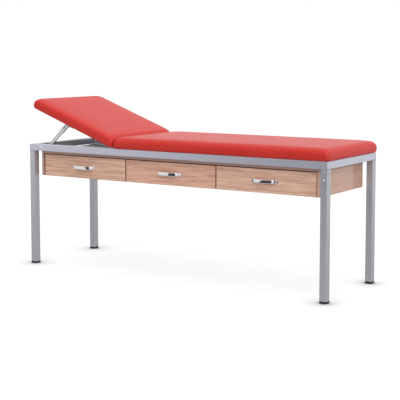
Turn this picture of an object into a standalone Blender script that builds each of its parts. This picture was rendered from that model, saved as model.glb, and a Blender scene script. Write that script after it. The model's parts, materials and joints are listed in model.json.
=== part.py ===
# Examination table: tube frame on bolted legs, padded bed with a lifting backrest on
# two ratchet stays, and a cabinet with three drawers under the bed.
# Metres. X runs from the head end to the foot end, the drawers face -Y, Z is up.

import math

import bmesh
import bpy
from mathutils import Matrix, Vector

# Whole table
LENGTH = 2.0
WIDTH = 0.61
FRAME_TOP = 0.733

# Clearances
FIT = 0.0003
HOLE_PLAY = 0.0003
SLIDE_PLAY = 0.0003

# Frame tube
TUBE = 0.04
TUBE_WALL = 0.002
TUBE_CORNER = 0.003
TUBE_CORNER_STEPS = 3

# Legs, sockets and feet
SOCKET_WALL = 0.003
SOCKET_LENGTH = 0.095
FOOT_HEIGHT = 0.011
FOOT_EDGE = 0.0015
FOOT_PLUG_LENGTH = 0.022
FOOT_PLUG_WALL = 0.003

# Bolts
BOLT_RADIUS = 0.003
BOLT_HEAD_RADIUS = 0.0056
BOLT_HEAD_HEIGHT = 0.0042
BOLT_HEAD_TOP = 0.7
BOLT_SOCKET = 0.002
BOLT_SOCKET_DEPTH = 0.0022
BOLT_SIDES = 12
LEG_BOLT_LENGTH = 0.011
LEG_BOLT_DROPS = (0.016, 0.057)
SPACER_RADIUS = 0.0065
NUT_HALF_WIDTH = 0.005
NUT_HEIGHT = 0.005

# Cabinet
CABINET_END_GAP = 0.02
CABINET_LEG_GAP = 0.002
CABINET_HEIGHT = 0.152
PANEL = 0.018
PANEL_EDGE = 0.0006
BACK_PANEL = 0.01
DRAWERS = 3

# Drawers: a front, a box folded from one grooved board, and a bottom
FRONT_GAP = 0.0045
FRONT_RECESS = 0.004
FRONT_EDGE = 0.001
BOX_BOARD = 0.015
BOX_HEIGHT = 0.09
BOX_LIFT = 0.016
BOX_BACK_GAP = 0.0447
BOX_SIDE_GAP = 0.003
BOTTOM_PANEL = 0.004
BOTTOM_GROOVE = 0.006
BOTTOM_LIFT = 0.01

# Drawer runners, strips that lie in the outer groove of the box
RUNNER_HEIGHT = 0.0164
RUNNER_GROOVE = 0.0085
RUNNER_SETBACK = 0.01
RUNNER_EDGE = 0.001

# Drawer handles
HANDLE_LENGTH = 0.155
HANDLE_HEIGHT = 0.019
HANDLE_STAND = 0.026
HANDLE_STRAP = 0.0035
HANDLE_FOOT = 0.02
HANDLE_RISE = 0.018
HANDLE_CROWN = 0.003
HANDLE_STEPS = 22
HANDLE_EDGE = 0.0008

# Pads
PAD_THICKNESS = 0.07
PAD_OVERHANG = 0.0075
PAD_EDGE = 0.036
PAD_EDGE_STEPS = 6
PAD_DRAW = 0.0085
PAD_DRAW_HEIGHT = 0.024
PAD_DRAW_STEPS = 4
PAD_CROWN = 0.003
PAD_CROWN_SHOULDER = 0.6
PAD_CROWN_REACH = 0.072
PAD_CORNER = 0.016
PAD_CORNER_GROWTH = 0.7
PAD_CORNER_STEPS = 5
PAD_WRAP = 0.014
PAD_END_GAP = 0.0018
BED_BOARD = 0.015
BED_BOARD_CORNER = 0.004

# Backrest and its hinge
BACKREST_LENGTH = 0.627
BACKREST_HEAD_REACH = 0.009
BACKREST_ANGLE = math.radians(20.2)
PAD_LEAN_SHARE = 0.53
HINGE_PIN = 0.0025
HINGE_SHEET = 0.002
HINGE_END_GAP = 0.04
HINGE_KNUCKLES = 9
HINGE_LEAF = 0.03
HINGE_ROLL = math.radians(280)
HINGE_ROLL_STEPS = 10

# Backrest stays
STAY_PIVOT_X = 0.0905
STAY_PIVOT_DROP = 0.016
STAY_RAIL_GAP = 0.0277
STAY_BRACKET_REACH = 0.4055
STAY_STUD_DROP = 0.0148
STAY_SHEET = 0.0015
BAR_HALF_WIDTH = 0.0105
BAR_SHEET = 0.0015
BAR_DEPTH = 0.01
BAR_TAIL = 0.011
BAR_OVERLAP = 0.029
NOTCH_FIRST = 0.026
NOTCH_PITCH = 0.0138
NOTCH_END_GAP = 0.012
NOTCH_FLOOR = 0.0042
NOTCH_MOUTH = 0.0075
NOTCH_DEPTH = 0.0095
SHEATH_LENGTH = 0.085
SHEATH_OVERRUN = 0.012
SHEATH_LIP = 0.0115
PAWL_SPACE = 0.0032
PAWL_LENGTH = 0.024
PAWL_HOOK = 0.006
PAWL_PIVOT = 0.03
PAWL_PIN = 0.0013
STUD_RADIUS = 0.003
STUD_HEAD_RADIUS = 0.005
STUD_HEAD_HEIGHT = 0.0025
STUD_SIDES = 16
BRACKET_SHEET = 0.003
BRACKET_FLANGE = 0.028
BRACKET_MARGIN = 0.009
SLOT_TRAVEL = 0.024
SLOT_DROP = 0.0068

# Lines and levels worked out from the sizes
FRAME_BOTTOM = FRAME_TOP - TUBE
HALF_LENGTH = LENGTH / 2
HALF_WIDTH = WIDTH / 2
HALF_TUBE = TUBE / 2
RAIL_INSIDE = HALF_WIDTH - TUBE
RAIL_X = HALF_LENGTH - HALF_TUBE
RAIL_Y = HALF_WIDTH - HALF_TUBE
RAIL_Z = FRAME_TOP - HALF_TUBE
LEG_BOTTOM = FOOT_HEIGHT + FIT
LEG_TOP = FRAME_BOTTOM - FIT
CABINET_X = HALF_LENGTH - TUBE - CABINET_END_GAP
CABINET_Y = RAIL_INSIDE - CABINET_LEG_GAP
CABINET_TOP = FRAME_BOTTOM - FIT
CABINET_BOTTOM = CABINET_TOP - CABINET_HEIGHT
PANEL_TOP = CABINET_TOP - PANEL - FIT
BACK_INSIDE = CABINET_Y - BACK_PANEL
BAY_X = CABINET_X - PANEL
BAY_WIDTH = (2 * BAY_X - (DRAWERS - 1) * PANEL) / DRAWERS
FRONT_WIDTH = (2 * BAY_X - (DRAWERS + 1) * FRONT_GAP) / DRAWERS
FRONT_TOP = PANEL_TOP - FRONT_GAP
FRONT_FACE = -CABINET_Y + FRONT_RECESS
FRONT_BACK = FRONT_FACE + PANEL
BOX_BOTTOM = CABINET_BOTTOM + BOX_LIFT
BOX_TOP = BOX_BOTTOM + BOX_HEIGHT
BOX_FRONT = FRONT_BACK + FIT
BOX_BACK = BACK_INSIDE - BOX_BACK_GAP
RUNNER_BACK = BOX_BACK - RUNNER_SETBACK
RUNNER_Z = (BOX_BOTTOM + BOX_TOP) / 2
PAD_BOTTOM = FRAME_TOP + FIT
PAD_LEAN = math.tan(PAD_LEAN_SHARE * BACKREST_ANGLE)
HINGE_INNER = HINGE_PIN + HOLE_PLAY
HINGE_OUTER = HINGE_INNER + HINGE_SHEET
HINGE_X = -HALF_LENGTH + BACKREST_LENGTH
HINGE_Z = PAD_BOTTOM - FIT - HINGE_OUTER
HINGE_LENGTH = 2 * (RAIL_INSIDE - HINGE_END_GAP)
BACKREST_UNDER = PAD_BOTTOM - HINGE_Z
BODY_LENGTH = HALF_LENGTH - HINGE_X
CROSS_RAIL_X = HINGE_X + HINGE_OUTER + FIT + HALF_TUBE

# Stay lines in the side view, with the backrest at its angle
STAY_X = -HALF_LENGTH + STAY_PIVOT_X
STAY_Z = FRAME_TOP - STAY_PIVOT_DROP
STUD_X = HINGE_X - STAY_BRACKET_REACH * math.cos(BACKREST_ANGLE)
STUD_X -= STAY_STUD_DROP * math.sin(BACKREST_ANGLE)
STUD_Z = HINGE_Z + STAY_BRACKET_REACH * math.sin(BACKREST_ANGLE)
STUD_Z -= STAY_STUD_DROP * math.cos(BACKREST_ANGLE)
STAY_ANGLE = math.atan2(STUD_Z - STAY_Z, STUD_X - STAY_X)
STAY_SPAN = math.hypot(STUD_X - STAY_X, STUD_Z - STAY_Z)
SHEATH_FACE = RAIL_INSIDE - STAY_RAIL_GAP
BAR_FACE = SHEATH_FACE - STAY_SHEET - SLIDE_PLAY
BAR_INSIDE = BAR_FACE - BAR_DEPTH
SHEATH_INSIDE = BAR_INSIDE - SLIDE_PLAY - STAY_SHEET
SHEATH_LOW = -BAR_HALF_WIDTH - SLIDE_PLAY - STAY_SHEET
SHEATH_HIGH = BAR_HALF_WIDTH + PAWL_SPACE + STAY_SHEET
SHEATH_END = STAY_SPAN + SHEATH_OVERRUN
SHEATH_START = SHEATH_END - SHEATH_LENGTH
BAR_LENGTH = SHEATH_START + BAR_OVERLAP
NOTCH_COUNT = 1 + int((BAR_LENGTH - NOTCH_END_GAP - NOTCH_FIRST) / NOTCH_PITCH)
BRACKET_FACE = SHEATH_INSIDE - 2 * FIT
BRACKET_INSIDE = BRACKET_FACE - BRACKET_SHEET

X_AXIS = (1, 0, 0)
Y_AXIS = (0, 1, 0)
Z_AXIS = (0, 0, 1)
CORNERS = (
    ("front_head", -1, -1),
    ("front_foot", 1, -1),
    ("rear_head", -1, 1),
    ("rear_foot", 1, 1),
)
SIDES = (("front", -1), ("rear", 1))


def clear_scene():
    for thing in list(bpy.data.objects):
        bpy.data.objects.remove(thing)


def make_material(name, colour, roughness, metallic):
    material = bpy.data.materials.new(name)
    material.use_nodes = True
    shader = material.node_tree.nodes["Principled BSDF"]
    shader.inputs["Base Color"].default_value = (*colour, 1.0)
    shader.inputs["Roughness"].default_value = roughness
    shader.inputs["Metallic"].default_value = metallic
    return material


def make_node(name, shape, material, parent=None, smooth=False):
    bmesh.ops.recalc_face_normals(shape, faces=shape.faces[:])
    mesh = bpy.data.meshes.new(name)
    shape.to_mesh(mesh)
    shape.free()
    if smooth:
        mesh.shade_smooth()
        mesh.set_sharp_from_angle(angle=math.radians(40))
    thing = bpy.data.objects.new(name, mesh)
    thing.data.materials.append(material)
    thing.parent = parent
    bpy.context.scene.collection.objects.link(thing)
    return thing


def make_pivot(name, location, angle=0.0):
    pivot = bpy.data.objects.new(name, None)
    pivot.location = location
    pivot.rotation_euler = (0.0, angle, 0.0)
    bpy.context.scene.collection.objects.link(pivot)
    return pivot


def make_tool(name, shape, parent=None):
    tool = make_node(name, shape, DARK_STEEL, parent)
    tool.hide_render = True
    tool.display_type = "WIRE"
    return tool


def combine(thing, tool, operation):
    change = thing.modifiers.new(operation.lower(), "BOOLEAN")
    change.operation = operation
    change.solver = "EXACT"
    change.object = tool


def place(origin, u, v, w):
    turn = Matrix((Vector(u), Vector(v), Vector(w))).transposed().to_4x4()
    return Matrix.Translation(Vector(origin)) @ turn


def add_loft(shape, rings, closed=False):
    loops = [[shape.verts.new(point) for point in ring] for ring in rings]
    pairs = list(zip(loops, loops[1:]))
    if closed:
        pairs.append((loops[-1], loops[0]))
    for first, second in pairs:
        for i in range(len(first)):
            j = (i + 1) % len(first)
            shape.faces.new((first[i], first[j], second[j], second[i]))
    if not closed:
        shape.faces.new(loops[0])
        shape.faces.new(loops[-1])


def add_box(shape, low, high, edge=0.0):
    size = [high[i] - low[i] for i in range(3)]
    middle = [(high[i] + low[i]) / 2 for i in range(3)]
    matrix = Matrix.Translation(middle) @ Matrix.Diagonal((*size, 1.0))
    made = bmesh.ops.create_cube(shape, size=1.0, matrix=matrix)
    if edge > 0:
        edges = list({e for vert in made["verts"] for e in vert.link_edges})
        bmesh.ops.bevel(shape, geom=edges, offset=edge, segments=1, profile=0.5, affect="EDGES")


def add_prism(shape, outline, matrix, near, far):
    add_loft(shape, [[matrix @ Vector((u, v, w)) for u, v in outline] for w in (near, far)])


def rounded(u_low, u_high, v_low, v_high, radius, steps):
    middles = (
        (u_high - radius, v_high - radius),
        (u_low + radius, v_high - radius),
        (u_low + radius, v_low + radius),
        (u_high - radius, v_low + radius),
    )
    points = []
    for quarter, (u, v) in enumerate(middles):
        for i in range(steps + 1):
            a = (quarter + i / steps) * math.pi / 2
            points.append((u + radius * math.cos(a), v + radius * math.sin(a)))
    return points


def add_tube(shape, matrix, length, size, wall, corner, mitre=0.0):
    # hollow square tube along w; where it is mitred its longer side is at +u
    half = size / 2
    bore = half - wall
    outer = rounded(-half, half, -half, half, corner, TUBE_CORNER_STEPS)
    inner = rounded(-bore, bore, -bore, bore, corner / 2, TUBE_CORNER_STEPS)
    rings = []
    for outline, end in ((outer, -1), (outer, 1), (inner, 1), (inner, -1)):
        ends = [(u, v, end * (length / 2 - mitre * (half - u))) for u, v in outline]
        rings.append([matrix @ Vector(point) for point in ends])
    add_loft(shape, rings, closed=True)


def add_turned(shape, profile, matrix, sides):
    # profile rows are radius, distance along w and whether the ring is six-sided
    sixth = math.pi / 3
    rings = []
    for radius, along, hexagon in profile:
        ring = []
        for i in range(sides):
            a = 2 * math.pi * i / sides
            reach = radius / math.cos(a % sixth - sixth / 2) if hexagon else radius
            ring.append(matrix @ Vector((reach * math.cos(a), reach * math.sin(a), along)))
        rings.append(ring)
    add_loft(shape, rings)


def add_rod(shape, matrix, radius, near, far, sides):
    add_turned(shape, ((radius, near, False), (radius, far, False)), matrix, sides)


def bolt_head():
    # rows of a button head that sits on w = 0, down to the floor of its key socket
    top = FIT + BOLT_HEAD_HEIGHT
    return (
        (BOLT_RADIUS, FIT, False),
        (BOLT_HEAD_RADIUS, FIT, False),
        (BOLT_HEAD_RADIUS, FIT + BOLT_HEAD_HEIGHT / 2, False),
        (BOLT_HEAD_RADIUS * BOLT_HEAD_TOP, top, False),
        (BOLT_SOCKET, top, True),
        (BOLT_SOCKET, top - BOLT_SOCKET_DEPTH, True),
    )


def lipped_channel(web, tip, low, high, sheet, lip):
    # outline of a folded channel: its web at u = web, its lipped flanges reaching u = tip
    fold = math.copysign(sheet, tip - web)
    lower = [(web, low), (tip, low), (tip, low + lip)]
    lower += [(tip - fold, low + lip), (tip - fold, low + sheet), (web + fold, low + sheet)]
    upper = [(web + fold, high - sheet), (tip - fold, high - sheet), (tip - fold, high - lip)]
    upper += [(tip, high - lip), (tip, high), (web, high)]
    return lower + upper


def build_rails():
    rails = (
        ("front_rail", (0, -RAIL_Y, RAIL_Z), (0, -1, 0), X_AXIS, LENGTH),
        ("rear_rail", (0, RAIL_Y, RAIL_Z), (0, 1, 0), X_AXIS, LENGTH),
        ("head_rail", (-RAIL_X, 0, RAIL_Z), (-1, 0, 0), Y_AXIS, WIDTH),
        ("foot_rail", (RAIL_X, 0, RAIL_Z), (1, 0, 0), Y_AXIS, WIDTH),
    )
    holes = bmesh.new()
    for side, sy in SIDES:
        matrix = place((STAY_X, sy * RAIL_Y, STAY_Z), X_AXIS, Z_AXIS, (0, sy, 0))
        add_rod(holes, matrix, BOLT_RADIUS + HOLE_PLAY, -TUBE, TUBE, BOLT_SIDES)
    bolt_holes = make_tool("cut_stay_bolts", holes)
    mitre_gap = FIT * math.sqrt(2)
    for name, middle, outward, along, length in rails:
        shape = bmesh.new()
        matrix = place(middle, outward, Z_AXIS, along)
        add_tube(shape, matrix, length - mitre_gap, TUBE, TUBE_WALL, TUBE_CORNER, 1.0)
        rail = make_node(name, shape, STEEL_PAINT)
        if along == X_AXIS:
            combine(rail, bolt_holes, "DIFFERENCE")
    for name, x in (("hinge_cross_rail", CROSS_RAIL_X), ("bed_cross_rail", -CROSS_RAIL_X)):
        shape = bmesh.new()
        matrix = place((x, 0, RAIL_Z), X_AXIS, Z_AXIS, Y_AXIS)
        add_tube(shape, matrix, 2 * (RAIL_INSIDE - FIT), TUBE, TUBE_WALL, TUBE_CORNER)
        make_node(name, shape, STEEL_PAINT)


def leg_bolt_places(sx, sy):
    # two bolts on each outward face of a leg
    places = []
    for drop in LEG_BOLT_DROPS:
        z = FRAME_BOTTOM - drop
        places.append(place((sx * HALF_LENGTH, sy * RAIL_Y, z), Y_AXIS, Z_AXIS, (sx, 0, 0)))
        places.append(place((sx * RAIL_X, sy * HALF_WIDTH, z), X_AXIS, Z_AXIS, (0, sy, 0)))
    return places


def build_leg(corner, sx, sy):
    places = leg_bolt_places(sx, sy)
    shape = bmesh.new()
    middle = (sx * RAIL_X, sy * RAIL_Y, (LEG_BOTTOM + LEG_TOP) / 2)
    upright = place(middle, X_AXIS, Y_AXIS, Z_AXIS)
    add_tube(shape, upright, LEG_TOP - LEG_BOTTOM, TUBE, TUBE_WALL, TUBE_CORNER)
    leg = make_node(f"leg_{corner}", shape, STEEL_PAINT)
    shape = bmesh.new()
    for matrix in places:
        bore = BOLT_RADIUS + HOLE_PLAY
        add_rod(shape, matrix, bore, -HALF_TUBE / 2, HALF_TUBE / 2, BOLT_SIDES)
    combine(leg, make_tool(f"cut_leg_{corner}", shape), "DIFFERENCE")

    # socket under the frame, inside the top of the leg, with the bolts screwed into it
    shape = bmesh.new()
    size = TUBE - 2 * (TUBE_WALL + FIT)
    upright = place((*middle[:2], LEG_TOP - SOCKET_LENGTH / 2), X_AXIS, Y_AXIS, Z_AXIS)
    add_tube(shape, upright, SOCKET_LENGTH, size, SOCKET_WALL, TUBE_CORNER / 2)
    socket = make_node(f"leg_socket_{corner}", shape, ZINC)
    shape = bmesh.new()
    for matrix in places:
        add_turned(shape, ((BOLT_RADIUS, -LEG_BOLT_LENGTH, False), *bolt_head()), matrix, BOLT_SIDES)
    combine(socket, make_tool(f"join_bolts_{corner}", shape), "UNION")


def build_foot(corner, sx, sy):
    # a flange under the leg and a hollow plug inside it
    plug = HALF_TUBE - TUBE_WALL - FIT
    bore = plug - FOOT_PLUG_WALL
    plug_top = FOOT_HEIGHT + FOOT_PLUG_LENGTH
    levels = (
        (HALF_TUBE - FOOT_EDGE, 0.0),
        (HALF_TUBE, FOOT_EDGE),
        (HALF_TUBE, FOOT_HEIGHT),
        (plug, FOOT_HEIGHT),
        (plug, plug_top),
        (bore, plug_top),
        (bore, FOOT_HEIGHT - FOOT_EDGE),
    )
    rings = []
    for half, level in levels:
        outline = rounded(-half, half, -half, half, TUBE_CORNER / 2, TUBE_CORNER_STEPS)
        rings.append([(sx * RAIL_X + u, sy * RAIL_Y + v, level) for u, v in outline])
    shape = bmesh.new()
    add_loft(shape, rings)
    make_node(f"foot_cap_{corner}", shape, BLACK_PLASTIC)


def build_cabinet():
    panels = {
        "cabinet_top": (
            (-CABINET_X, -CABINET_Y, CABINET_TOP - PANEL),
            (CABINET_X, CABINET_Y, CABINET_TOP),
        ),
        "cabinet_head_end": (
            (-CABINET_X, -CABINET_Y, CABINET_BOTTOM),
            (-BAY_X, CABINET_Y, PANEL_TOP),
        ),
        "cabinet_foot_end": (
            (BAY_X, -CABINET_Y, CABINET_BOTTOM),
            (CABINET_X, CABINET_Y, PANEL_TOP),
        ),
        "cabinet_back": (
            (-BAY_X + FIT, BACK_INSIDE, CABINET_BOTTOM),
            (BAY_X - FIT, CABINET_Y, PANEL_TOP),
        ),
    }
    for i in range(1, DRAWERS):
        x = -BAY_X + i * BAY_WIDTH + (i - 1) * PANEL
        panels[f"cabinet_divider_{i}"] = (
            (x, BOX_FRONT, CABINET_BOTTOM),
            (x + PANEL, BACK_INSIDE - FIT, PANEL_TOP),
        )
    for name, (low, high) in panels.items():
        shape = bmesh.new()
        add_box(shape, low, high, PANEL_EDGE)
        make_node(name, shape, OAK_BOARD)


def box_profile():
    # section of the folded board: distance in from its outer face, and height
    groove_low = BOX_BOTTOM + BOTTOM_LIFT
    groove_high = groove_low + BOTTOM_PANEL + 2 * FIT
    groove = BOX_BOARD - BOTTOM_GROOVE
    slot_low = RUNNER_Z - RUNNER_HEIGHT / 2 - SLIDE_PLAY
    slot_high = RUNNER_Z + RUNNER_HEIGHT / 2 + SLIDE_PLAY
    return (
        (0.0, BOX_BOTTOM),
        (BOX_BOARD, BOX_BOTTOM),
        (BOX_BOARD, groove_low),
        (groove, groove_low),
        (groove, groove_high),
        (BOX_BOARD, groove_high),
        (BOX_BOARD, BOX_TOP),
        (0.0, BOX_TOP),
        (0.0, slot_high),
        (RUNNER_GROOVE, slot_high),
        (RUNNER_GROOVE, slot_low),
        (0.0, slot_low),
    )


def handle_outline():
    # the strap seen from above: feet on the drawer front, bent out to a shallow bow
    half = HANDLE_LENGTH / 2
    line = []
    for i in range(HANDLE_STEPS + 1):
        x = half * -math.cos(math.pi * i / HANDLE_STEPS)
        t = min(1.0, max(0.0, (half - abs(x) - HANDLE_FOOT) / HANDLE_RISE))
        bow = HANDLE_STAND - HANDLE_CROWN * (x / half) ** 2
        line.append(Vector((x, bow * t * t * (3 - 2 * t))))
    inner = []
    outer = []
    for i, point in enumerate(line):
        run = (line[min(i + 1, HANDLE_STEPS)] - line[max(i - 1, 0)]).normalized()
        inner.append((point.x, point.y))
        outer.append((point.x - run.y * HANDLE_STRAP, point.y + run.x * HANDLE_STRAP))
    return inner + outer[::-1]


def build_drawer(i):
    number = i + 1
    bay_left = -BAY_X + i * (BAY_WIDTH + PANEL)
    bay_right = bay_left + BAY_WIDTH
    left = bay_left + BOX_SIDE_GAP
    right = bay_right - BOX_SIDE_GAP
    front_left = -BAY_X + FRONT_GAP + i * (FRONT_WIDTH + FRONT_GAP)

    shape = bmesh.new()
    low = (front_left, FRONT_FACE, CABINET_BOTTOM)
    add_box(shape, low, (front_left + FRONT_WIDTH, FRONT_BACK, FRONT_TOP), FRONT_EDGE)
    make_node(f"drawer_{number}_front", shape, OAK_BOARD)

    # sides and back in one board, mitred and folded at the two back corners
    section = box_profile()
    shape = bmesh.new()
    rings = (
        [(left + t, BOX_FRONT, z) for t, z in section],
        [(left + t, BOX_BACK - t, z) for t, z in section],
        [(right - t, BOX_BACK - t, z) for t, z in section],
        [(right - t, BOX_FRONT, z) for t, z in section],
    )
    add_loft(shape, rings)
    make_node(f"drawer_{number}_box", shape, BOX_WOOD)

    inset = BOX_BOARD - BOTTOM_GROOVE + FIT
    bottom = BOX_BOTTOM + BOTTOM_LIFT + FIT
    shape = bmesh.new()
    low = (left + inset, BOX_FRONT, bottom)
    add_box(shape, low, (right - inset, BOX_BACK - inset, bottom + BOTTOM_PANEL))
    make_node(f"drawer_{number}_bottom", shape, BOX_WOOD)

    shape = bmesh.new()
    middle = (front_left + FRONT_WIDTH / 2, FRONT_FACE - FIT, (CABINET_BOTTOM + FRONT_TOP) / 2)
    matrix = place(middle, X_AXIS, (0, -1, 0), Z_AXIS)
    add_prism(shape, handle_outline(), matrix, -HANDLE_HEIGHT / 2, HANDLE_HEIGHT / 2)
    handle = make_node(f"drawer_{number}_handle", shape, CHROME, smooth=True)
    soften = handle.modifiers.new("edges", "BEVEL")
    soften.width = HANDLE_EDGE
    soften.segments = 1
    soften.limit_method = "ANGLE"

    # a strip on each wall of the bay, lying in the groove of the box
    reach = BOX_SIDE_GAP + RUNNER_GROOVE - SLIDE_PLAY
    for side, start in (("left", bay_left + FIT), ("right", bay_right - reach)):
        shape = bmesh.new()
        low = (start, BOX_FRONT, RUNNER_Z - RUNNER_HEIGHT / 2)
        high = (start + reach - FIT, RUNNER_BACK, RUNNER_Z + RUNNER_HEIGHT / 2)
        add_box(shape, low, high, RUNNER_EDGE)
        make_node(f"runner_{number}_{side}", shape, RUNNER_PLASTIC)


def pad_outline(length, near, inset, corner):
    # inset is measured from the pad's widest line
    half = HALF_WIDTH + PAD_OVERHANG - inset
    return rounded(near, length + PAD_OVERHANG - inset, -half, half, corner, PAD_CORNER_STEPS)


def pad_levels():
    # height and inset of each ring up the drawn-in side, over the edge and on to the crown
    shoulder = PAD_THICKNESS - PAD_CROWN - PAD_EDGE
    levels = []
    for i in range(PAD_DRAW_STEPS):
        a = math.pi / 2 * i / PAD_DRAW_STEPS
        levels.append((PAD_DRAW_HEIGHT * (1 - math.cos(a)), PAD_DRAW * (1 - math.sin(a))))
    for i in range(PAD_EDGE_STEPS + 1):
        a = math.pi / 2 * i / PAD_EDGE_STEPS
        levels.append((shoulder + PAD_EDGE * math.sin(a), PAD_EDGE * (1 - math.cos(a))))
    swell = PAD_THICKNESS - PAD_CROWN * (1 - PAD_CROWN_SHOULDER)
    levels.append((swell, PAD_EDGE + PAD_CROWN_REACH / 2))
    levels.append((PAD_THICKNESS, PAD_EDGE + PAD_CROWN_REACH))
    return levels


def build_pad(name, length, start, way, bottom, parent):
    # a cushion with a pocket for its board; lengths run from the hinge end
    wrap = PAD_OVERHANG + PAD_WRAP
    pocket = pad_outline(length, PAD_END_GAP + PAD_WRAP, wrap, BED_BOARD_CORNER)
    rings = [[(s, y, height) for s, y in pocket] for height in (BED_BOARD + FIT, 0.0)]
    for height, inset in pad_levels():
        near = PAD_END_GAP + PAD_LEAN * height + inset
        outline = pad_outline(length, near, inset, PAD_CORNER + PAD_CORNER_GROWTH * inset)
        rings.append([(s, y, height) for s, y in outline])
    matrix = place((start, 0, bottom), (way, 0, 0), Y_AXIS, Z_AXIS)
    shape = bmesh.new()
    add_loft(shape, [[matrix @ Vector(point) for point in ring] for ring in rings])
    make_node(f"{name}_cushion", shape, RED_VINYL, parent, smooth=True)

    near = PAD_END_GAP + PAD_WRAP + FIT
    outline = pad_outline(length, near, wrap + FIT, BED_BOARD_CORNER)
    shape = bmesh.new()
    add_prism(shape, outline, matrix, 0.0, BED_BOARD)
    make_node(f"{name}_board", shape, BED_WOOD, parent)


def hinge_outline(start, turn):
    # sheet rolled round the pin from its flat leaf; start is the roll's first angle
    rows = []
    for radius in (HINGE_OUTER, HINGE_INNER):
        row = []
        for i in range(HINGE_ROLL_STEPS + 1):
            a = start + turn * HINGE_ROLL * i / HINGE_ROLL_STEPS
            row.append((radius * math.cos(a), radius * math.sin(a)))
        u, v = row[0]
        leaf_end = (u + HINGE_LEAF * turn * math.sin(start), v - HINGE_LEAF * turn * math.cos(start))
        rows.append([leaf_end] + row)
    return rows[0] + rows[1][::-1]


def build_hinge(backrest):
    # long hinge: its fixed leaf hangs on the cross rail, the other lies under the backrest board
    line = make_pivot("hinge_line", (HINGE_X, 0, HINGE_Z))
    across = place((0, 0, 0), X_AXIS, Z_AXIS, Y_AXIS)
    half = HINGE_LENGTH / 2
    pitch = HINGE_LENGTH / HINGE_KNUCKLES
    relief = HINGE_OUTER + HOLE_PLAY
    high = (2 * relief, 2 * relief)
    leaves = (
        ("hinge_fixed_leaf", 0.0, 1, line, 1, (-2 * relief, -relief)),
        ("hinge_moving_leaf", math.pi / 2, -1, backrest, 0, (-relief, -2 * relief)),
    )
    for name, start, turn, parent, first_cut, low in leaves:
        shape = bmesh.new()
        add_prism(shape, hinge_outline(start, turn), across, -half, half)
        leaf = make_node(name, shape, ZINC, parent)
        cuts = bmesh.new()
        for i in range(first_cut, HINGE_KNUCKLES, 2):
            near = -half + i * pitch - (HOLE_PLAY / 2 if i > 0 else pitch)
            far = -half + (i + 1) * pitch + (HOLE_PLAY / 2 if i < HINGE_KNUCKLES - 1 else pitch)
            add_box(cuts, (low[0], near, low[1]), (high[0], far, high[1]))
        combine(leaf, make_tool(f"cut_{name}", cuts, parent), "DIFFERENCE")
    shape = bmesh.new()
    add_rod(shape, across, HINGE_PIN, -half, half, STUD_SIDES)
    make_node("hinge_pin", shape, ZINC, line, smooth=True)


def build_pivot_bolt(side, sy):
    # through the rail; a spacer sleeve keeps the bar off the rail and a nut holds the bar on
    spacer_near = RAIL_INSIDE - FIT - HALF_WIDTH
    spacer_far = BAR_FACE + FIT - HALF_WIDTH
    nut_near = BAR_INSIDE - FIT - HALF_WIDTH
    nut_far = nut_near - NUT_HEIGHT
    profile = (
        (BOLT_RADIUS, nut_far - FIT, False),
        (BOLT_RADIUS, nut_far, False),
        (NUT_HALF_WIDTH, nut_far, True),
        (NUT_HALF_WIDTH, nut_near, True),
        (BOLT_RADIUS, nut_near, False),
        (BOLT_RADIUS, spacer_far, False),
        (SPACER_RADIUS, spacer_far, False),
        (SPACER_RADIUS, spacer_near, False),
        (BOLT_RADIUS, spacer_near, False),
        *bolt_head(),
    )
    shape = bmesh.new()
    matrix = place((STAY_X, sy * HALF_WIDTH, STAY_Z), X_AXIS, Z_AXIS, (0, sy, 0))
    add_turned(shape, profile, matrix, BOLT_SIDES)
    make_node(f"stay_bolt_{side}", shape, ZINC)


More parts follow.
